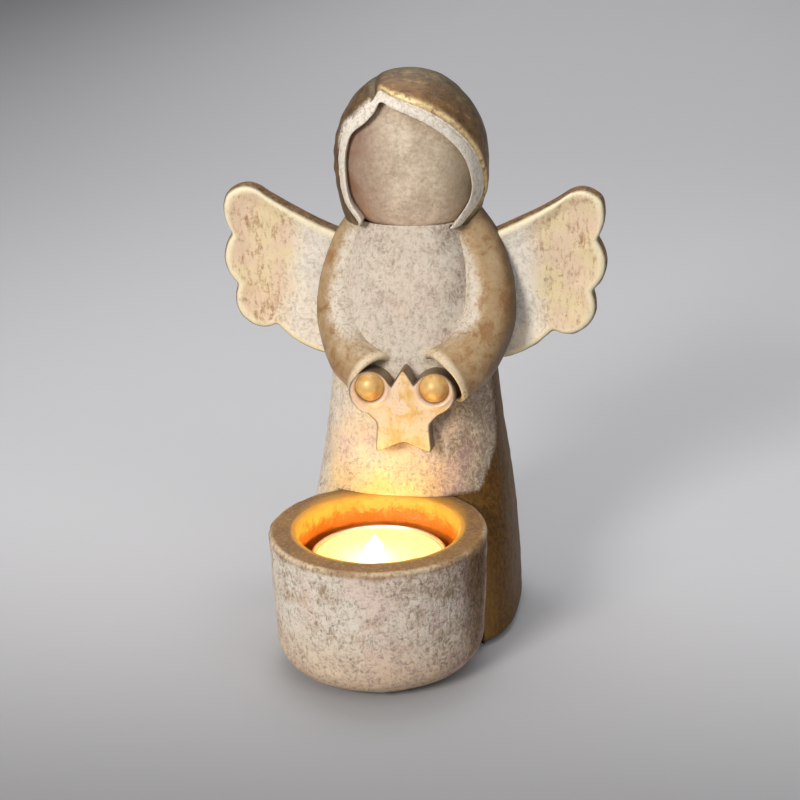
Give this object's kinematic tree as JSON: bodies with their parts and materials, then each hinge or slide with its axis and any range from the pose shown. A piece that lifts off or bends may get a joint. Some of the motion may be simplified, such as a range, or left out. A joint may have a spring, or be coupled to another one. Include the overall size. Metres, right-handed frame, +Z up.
{
  "type": "angel figurine with tealight cup",
  "caption": "Standing faceless angel with scalloped wings that holds a star, behind a round candle pot with a lift-out tealight.",
  "frame": {"origin": "middle of the footprint's bounding box, on the surface that the foot pads stand on", "axes": "+Z up; the angel faces -Y and the pot is at -Y; X = 0 is the angel's middle plane; left and right are as seen from the front"},
  "size_m": [0.1118, 0.1018, 0.1595],
  "materials": {
    "whitewashed_resin": "matt, brushed whitewash over brown",
    "whitewashed_pot": "matt, brushed whitewash over brown",
    "bronzed_hair": "satin bronze wash over brown",
    "blush_resin": "matt, thin wash",
    "bronzed_sleeve": "satin bronze wash over brown",
    "gold_resin": "satin gold wash",
    "whitewashed_wing": "matt, brushed whitewash with bronze edges",
    "thin_aluminium": "bright rolled foil",
    "candle_wax": "satin, translucent wax",
    "tinned_steel": "bright tin plate",
    "cotton_wick": "charred at the top",
    "pad_foam": "matt foam rubber"
  },
  "bodies": {
    "figurine": {"robe": "whitewashed_resin", "candle_cup": "whitewashed_pot", "hood": "bronzed_hair", "face": "blush_resin", "sleeve_left": "bronzed_sleeve", "sleeve_right": "bronzed_sleeve", "hand_left": "gold_resin", "hand_right": "gold_resin", "star": "gold_resin", "wing_left": "whitewashed_wing", "wing_right": "whitewashed_wing", "foot_pad_1": "pad_foam", "foot_pad_2": "pad_foam", "foot_pad_3": "pad_foam", "foot_pad_4": "pad_foam"},
    "tealight": {"tealight_can": "thin_aluminium", "tealight_wax": "candle_wax", "wick_clip": "tinned_steel", "wick": "cotton_wick"}
  },
  "joints": [
    {"name": "tealight_lift", "type": "slide", "parent": "figurine", "child": "tealight", "axis": [0, 0, 1], "range_m": [0, 0.028]}
  ]
}
